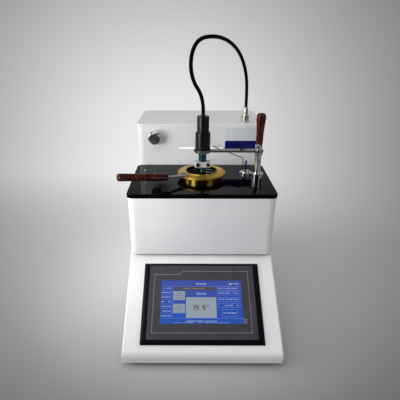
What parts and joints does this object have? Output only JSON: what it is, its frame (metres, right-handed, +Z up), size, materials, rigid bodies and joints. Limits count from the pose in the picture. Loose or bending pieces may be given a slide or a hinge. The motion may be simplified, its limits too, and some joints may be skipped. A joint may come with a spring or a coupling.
{
  "type": "open-cup flash point tester",
  "caption": "Bench open-cup flash point tester: heated brass cup with handle, hand-lifted sensor arm, swinging flame applicator, touch panel console and rear service housing.",
  "frame": {"origin": "on the bench under the middle of the instrument's bounding box, cable left out", "axes": "+X to the right of a person standing at the touch panel, +Y towards the rear housing, +Z up"},
  "size_m": [0.3032, 0.562, 0.5427],
  "materials": {
    "painted_case": "smooth semi-gloss light grey-white powder paint",
    "zinc_sheet": "plain zinc-plated sheet",
    "foot_rubber": "matt black moulded rubber",
    "gloss_black_plate": "mirror-gloss black",
    "black_screw": "blackened steel",
    "steel_screw": "plain turned steel",
    "diffuser": "milky white translucent plastic",
    "bezel_plastic": "black satin moulding",
    "overlay_film": "dark grey printed film",
    "screen": "lit blue touch screen",
    "module_plastic": "dark grey moulding",
    "clip_steel": "plated steel",
    "cup_brass": "turned brass",
    "ring_brass": "polished brass",
    "strap_steel": "brushed stainless strip",
    "handle_wood": "varnished reddish-brown hardwood",
    "rivet_steel": "dull steel",
    "chrome": "polished chrome plate",
    "dark_chrome": "darkened chrome plate",
    "heater_iron": "cast iron, heat darkened",
    "element_steel": "heat-darkened stainless tube",
    "ceramic": "unglazed white ceramic",
    "mineral_wool": "pressed mineral wool",
    "head_plastic": "black turned plastic",
    "bright_aluminium": "satin aluminium",
    "cable_rubber": "black rubber-sheathed cable",
    "connector_nickel": "nickel-plated brass",
    "copper": "plain copper tube",
    "fan_plastic": "black moulding",
    "switch_plastic": "black moulding",
    "board_green": "green fibreglass board and components"
  },
  "bodies": {
    "instrument": {"base_tray": "zinc_sheet", "rubber_feet": "foot_rubber", "lower_case": "painted_case", "mid_housing": "painted_case", "top_plate": "gloss_black_plate", "plate_screws": "black_screw", "rear_housing": "painted_case", "rear_panel": "zinc_sheet", "rear_panel_screws": "steel_screw", "light_strip": "diffuser", "touch_bezel": "bezel_plastic", "panel_overlay": "overlay_film", "lcd_screen": "screen", "panel_module": "module_plastic", "panel_clips": "clip_steel", "cup_seat_ring": "ring_brass", "handle_rest_post": "chrome", "heater_block": "heater_iron", "heater_element": "element_steel", "heater_pillars": "ceramic", "heater_can": "zinc_sheet", "heater_lagging": "mineral_wool", "column_sleeve": "chrome", "rod_guide": "strap_steel", "applicator_base": "chrome", "applicator_motor": "zinc_sheet", "gas_valve": "connector_nickel", "gas_nipple": "connector_nickel", "gas_pipe": "copper", "panel_socket": "connector_nickel", "cable_plug": "connector_nickel", "sensor_cable": "cable_rubber", "fan_frame": "fan_plastic", "mains_inlet": "switch_plastic", "power_supply": "zinc_sheet", "control_board": "board_green"},
    "sensor_arm": {"lift_rod": "chrome", "index_pin": "black_screw", "lift_arm": "strap_steel", "arm_screw": "black_screw", "grip_ferrule": "chrome", "lift_grip": "handle_wood", "head_body": "head_plastic", "head_cap": "head_plastic", "head_gland": "cable_rubber", "probe_neck": "chrome", "probe_clamp": "bright_aluminium", "clamp_screws": "black_screw", "temperature_probe": "strap_steel"},
    "test_cup": {"brass_cup": "cup_brass", "cup_strap": "strap_steel", "strap_screws": "steel_screw", "cup_handle": "handle_wood", "handle_rivets": "rivet_steel"},
    "flame_applicator": {"swing_hub": "chrome", "swing_pin": "black_screw", "burner_tube": "strap_steel"},
    "knob": {"gas_knob": "chrome"},
    "rocker": {"power_rocker": "switch_plastic"},
    "fan_wheel": {"fan_rotor": "fan_plastic"}
  },
  "joints": [
    {"name": "arm_lift", "type": "slide", "parent": "instrument", "child": "sensor_arm", "axis": [0, 0, 1], "range_m": [0, 0.09], "deforming": ["sensor_cable"]},
    {"name": "cup_turn", "type": "hinge", "parent": "instrument", "child": "test_cup", "pos_m": [0.00702, -0.016, 0.2706], "axis": [0, 0, 1], "range_deg": [-34, 15]},
    {"name": "applicator_sweep", "type": "hinge", "parent": "instrument", "child": "flame_applicator", "pos_m": [0.10372, 0.0116, 0.2706], "axis": [0, 0, 1], "range_deg": [0, 95]},
    {"name": "gas_knob_turn", "type": "hinge", "parent": "instrument", "child": "knob", "pos_m": [-0.09638, 0.065, 0.3356], "axis": [0, -1, 0], "range_deg": [0, 270]},
    {"name": "power_rocker_press", "type": "hinge", "parent": "instrument", "child": "rocker", "pos_m": [0.09012, 0.2615, 0.2085], "axis": [-1, 0, 0], "range_deg": [0, 16]},
    {"name": "fan_spin", "type": "hinge", "parent": "instrument", "child": "fan_wheel", "pos_m": [-0.06388, 0.251, 0.274], "axis": [0, 1, 0], "continuous": true}
  ]
}
